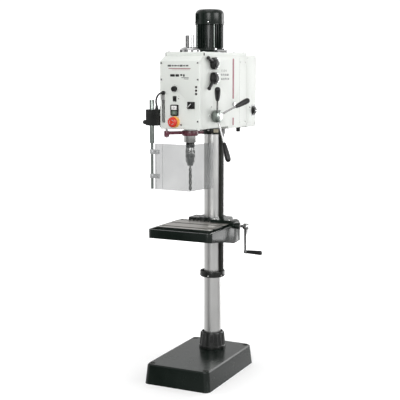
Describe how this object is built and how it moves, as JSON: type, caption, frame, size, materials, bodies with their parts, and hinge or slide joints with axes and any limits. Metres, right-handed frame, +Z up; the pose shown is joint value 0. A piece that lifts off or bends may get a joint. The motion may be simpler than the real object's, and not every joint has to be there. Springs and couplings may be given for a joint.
{
  "type": "pillar drilling machine",
  "caption": "Floor-standing geared-head pillar drill with cast base, rack-lifted T-slot table, lever quill feed, chuck, depth stop and hinged clear chuck guard.",
  "frame": {"origin": "centre of the four anchor bolt holes, on the floor plane", "axes": "+X to the machine's right, -Y to its front, +Z up"},
  "size_m": [0.5245, 0.7615, 1.889],
  "materials": {
    "cast_paint": "dark green-black hammered casting paint",
    "head_paint": "off-white powder coat",
    "ground_steel": "ground and oiled",
    "black_metal": "black paint",
    "bright_steel": "bright plated steel",
    "machined_steel": "turned",
    "hub_steel": "satin",
    "black_plastic": "moulded black",
    "green_plastic": "moulded green",
    "white_plastic": "moulded white",
    "red_plastic": "moulded red",
    "yellow_plastic": "moulded yellow",
    "maroon_paint": "maroon paint",
    "clear_sheet": "clear polycarbonate sheet, light grey tint",
    "drill_steel": "bright ground high speed steel",
    "cable_rubber": "black sheath"
  },
  "bodies": {
    "frame": {"base_casting": "cast_paint", "column_foot": "black_metal", "frame_bolts": "bright_steel", "column": "ground_steel", "rack_rings": "black_metal", "head_casting": "head_paint", "front_cover": "head_paint", "top_cover": "head_paint", "cover_screws": "bright_steel", "electrical_box": "head_paint", "control_bezels": "black_plastic", "estop_base": "yellow_plastic", "spring_housing": "black_metal", "return_spring": "machined_steel", "motor_housing": "cast_paint", "fan_cowl": "cast_paint", "spindle_cap": "bright_steel", "guard_bracket": "black_metal", "guard_cable": "cable_rubber", "cable_gland": "black_plastic"},
    "rack_swivel": {"rack": "black_metal"},
    "table": {"table_casting": "cast_paint"},
    "table_clamp": {"table_clamp_lever": "black_plastic"},
    "crank": {"crank_worm": "bright_steel", "crank_arm": "bright_steel"},
    "crank_handle": {"crank_grip": "black_plastic"},
    "lift_pinion": {"worm_wheel": "machined_steel"},
    "power_switch": {"main_switch": "black_plastic"},
    "gear_lever_a": {"upper_gear_lever": "black_plastic"},
    "gear_lever_b": {"lower_gear_lever": "black_plastic"},
    "speed_dial": {"speed_knob": "black_plastic"},
    "lamp_switch": {"rocker_switch": "black_plastic"},
    "start": {"start_button": "green_plastic"},
    "stop": {"stop_button": "white_plastic"},
    "selector": {"selector_knob": "black_plastic"},
    "emergency_stop": {"estop_button": "red_plastic"},
    "feed_handle": {"feed_shaft": "machined_steel", "feed_hub": "hub_steel", "feed_arms": "bright_steel", "feed_grips": "black_plastic"},
    "quill_sleeve": {"quill": "ground_steel", "spindle_bearings": "machined_steel", "depth_stop_arm": "maroon_paint", "depth_rod": "ground_steel"},
    "depth_nut": {"depth_stop_knob": "maroon_paint"},
    "spindle_body": {"spindle": "machined_steel", "chuck_body": "machined_steel", "drill_bit": "drill_steel"},
    "chuck_collar": {"chuck_sleeve": "machined_steel"},
    "jaw_1": {"chuck_jaw_1": "machined_steel"},
    "jaw_2": {"chuck_jaw_2": "machined_steel"},
    "jaw_3": {"chuck_jaw_3": "machined_steel"},
    "drive_sleeve": {"spindle_gear": "machined_steel"},
    "gear_shaft_2": {"intermediate_gears": "machined_steel"},
    "gear_shaft_3": {"input_gears": "machined_steel"},
    "motor_rotor": {"rotor": "machined_steel"},
    "guard_carrier": {"guard_rod": "ground_steel"},
    "guard": {"guard_hinges": "machined_steel", "guard_panel": "clear_sheet"},
    "guard_clamp": {"guard_clamp_knob": "black_plastic"}
  },
  "joints": [
    {"name": "table_swing", "type": "hinge", "parent": "frame", "child": "rack_swivel", "pos_m": [0, 0.148, 0.75], "axis": [0, 0, 1], "range_deg": [-90, 90]},
    {"name": "table_lift", "type": "slide", "parent": "rack_swivel", "child": "table", "axis": [0, 0, 1], "range_m": [-0.165, 0.06]},
    {"name": "table_clamp_turn", "type": "hinge", "parent": "table", "child": "table_clamp", "pos_m": [-0.092, 0.148, 0.757], "axis": [0, 1, 0], "range_deg": [-60, 30]},
    {"name": "crank_turn", "type": "hinge", "parent": "table", "child": "crank", "pos_m": [0.2, 0.06, 0.786], "axis": [1, 0, 0], "range_deg": [-3200, 1200]},
    {"name": "crank_grip_spin", "type": "hinge", "parent": "crank", "child": "crank_handle", "pos_m": [0.25, 0.06, 0.655], "axis": [1, 0, 0], "continuous": true},
    {"name": "lift_pinion_turn", "type": "hinge", "parent": "table", "child": "lift_pinion", "pos_m": [0.0753, 0.148, 0.753], "axis": [0, 1, 0], "range_deg": [-230, 620]},
    {"name": "main_switch_turn", "type": "hinge", "parent": "frame", "child": "power_switch", "pos_m": [0.107, 0.441, 1.362], "axis": [1, 0, 0], "range_deg": [0, 90]},
    {"name": "upper_gear_lever_turn", "type": "hinge", "parent": "frame", "child": "gear_lever_a", "pos_m": [0.107, -0.086, 1.614], "axis": [1, 0, 0], "range_deg": [-40, 40]},
    {"name": "lower_gear_lever_turn", "type": "hinge", "parent": "frame", "child": "gear_lever_b", "pos_m": [0.107, -0.086, 1.541], "axis": [1, 0, 0], "range_deg": [-40, 30]},
    {"name": "speed_knob_turn", "type": "hinge", "parent": "frame", "child": "speed_dial", "pos_m": [-0.026, -0.233, 1.491], "axis": [0, 1, 0], "range_deg": [-135, 135]},
    {"name": "rocker_tilt", "type": "hinge", "parent": "frame", "child": "lamp_switch", "pos_m": [-0.026, -0.233, 1.443], "axis": [1, 0, 0], "range_deg": [0, 16]},
    {"name": "start_press", "type": "slide", "parent": "frame", "child": "start", "axis": [0, 1, 0], "range_m": [0, 0.004], "stiffness_N_per_m": 400},
    {"name": "stop_press", "type": "slide", "parent": "frame", "child": "stop", "axis": [0, 1, 0], "range_m": [0, 0.004], "stiffness_N_per_m": 400},
    {"name": "selector_turn", "type": "hinge", "parent": "frame", "child": "selector", "pos_m": [0.063, -0.233, 1.412], "axis": [0, 1, 0], "range_deg": [-90, 0]},
    {"name": "emergency_stop_press", "type": "slide", "parent": "frame", "child": "emergency_stop", "axis": [0, 1, 0], "range_m": [0, 0.005], "stiffness_N_per_m": 900},
    {"name": "feed_turn", "type": "hinge", "parent": "frame", "child": "feed_handle", "pos_m": [0, -0.0712, 1.353], "axis": [1, 0, 0], "range_deg": [-5, 425]},
    {"name": "quill_travel", "type": "slide", "parent": "frame", "child": "quill_sleeve", "axis": [0, 0, -1], "range_m": [0, 0.11], "stiffness_N_per_m": 1500, "springref_m": -0.15},
    {"name": "depth_nut_turn", "type": "hinge", "parent": "quill_sleeve", "child": "depth_nut", "pos_m": [-0.088, -0.202, 1.254], "axis": [0, 0, 1], "continuous": true},
    {"name": "spindle_spin", "type": "hinge", "parent": "quill_sleeve", "child": "spindle_body", "pos_m": [0, -0.116, 1.2], "axis": [0, 0, 1], "continuous": true},
    {"name": "chuck_collar_turn", "type": "hinge", "parent": "spindle_body", "child": "chuck_collar", "pos_m": [0, -0.116, 1.16], "axis": [0, 0, 1], "range_deg": [0, 720]},
    {"name": "jaw_1_travel", "type": "slide", "parent": "spindle_body", "child": "jaw_1", "axis": [0.1392, 0, 0.9903], "range_m": [0, 0.0045]},
    {"name": "jaw_2_travel", "type": "slide", "parent": "spindle_body", "child": "jaw_2", "axis": [-0.0696, 0.1205, 0.9903], "range_m": [0, 0.0045]},
    {"name": "jaw_3_travel", "type": "slide", "parent": "spindle_body", "child": "jaw_3", "axis": [-0.0696, -0.1205, 0.9903], "range_m": [0, 0.0045]},
    {"name": "drive_sleeve_spin", "type": "hinge", "parent": "frame", "child": "drive_sleeve", "pos_m": [0, -0.116, 1.6], "axis": [0, 0, 1], "continuous": true},
    {"name": "gear_shaft_2_spin", "type": "hinge", "parent": "frame", "child": "gear_shaft_2", "pos_m": [0, -0.041, 1.6], "axis": [0, 0, 1], "continuous": true},
    {"name": "gear_shaft_3_spin", "type": "hinge", "parent": "frame", "child": "gear_shaft_3", "pos_m": [0, 0.034, 1.6], "axis": [0, 0, 1], "continuous": true},
    {"name": "rotor_spin", "type": "hinge", "parent": "frame", "child": "motor_rotor", "pos_m": [0, 0.109, 1.75], "axis": [0, 0, 1], "continuous": true},
    {"name": "guard_height", "type": "slide", "parent": "frame", "child": "guard_carrier", "axis": [0, 0, 1], "range_m": [0, 0.06]},
    {"name": "guard_swing", "type": "hinge", "parent": "guard_carrier", "child": "guard", "pos_m": [-0.152, -0.236, 1.1], "axis": [0, 0, 1], "range_deg": [-110, 0]},
    {"name": "guard_clamp_turn", "type": "hinge", "parent": "frame", "child": "guard_clamp", "pos_m": [-0.18, -0.236, 1.325], "axis": [1, 0, 0], "range_deg": [-180, 180]}
  ],
  "couplings": [
    {"joint": "lift_pinion_turn", "follows": "table_lift", "rad_per_m": -62.5},
    {"joint": "crank_turn", "follows": "table_lift", "rad_per_m": 312.5},
    {"joint": "feed_turn", "follows": "quill_travel", "rad_per_m": 66.667},
    {"joint": "drive_sleeve_spin", "follows": "spindle_spin", "ratio": 1},
    {"joint": "gear_shaft_2_spin", "follows": "spindle_spin", "ratio": -1.5},
    {"joint": "gear_shaft_3_spin", "follows": "spindle_spin", "ratio": 2.25},
    {"joint": "rotor_spin", "follows": "spindle_spin", "ratio": -5.25},
    {"joint": "jaw_1_travel", "follows": "chuck_collar_turn", "m_per_rad": 0.00035774},
    {"joint": "jaw_2_travel", "follows": "chuck_collar_turn", "m_per_rad": 0.00035774},
    {"joint": "jaw_3_travel", "follows": "chuck_collar_turn", "m_per_rad": 0.00035774}
  ]
}
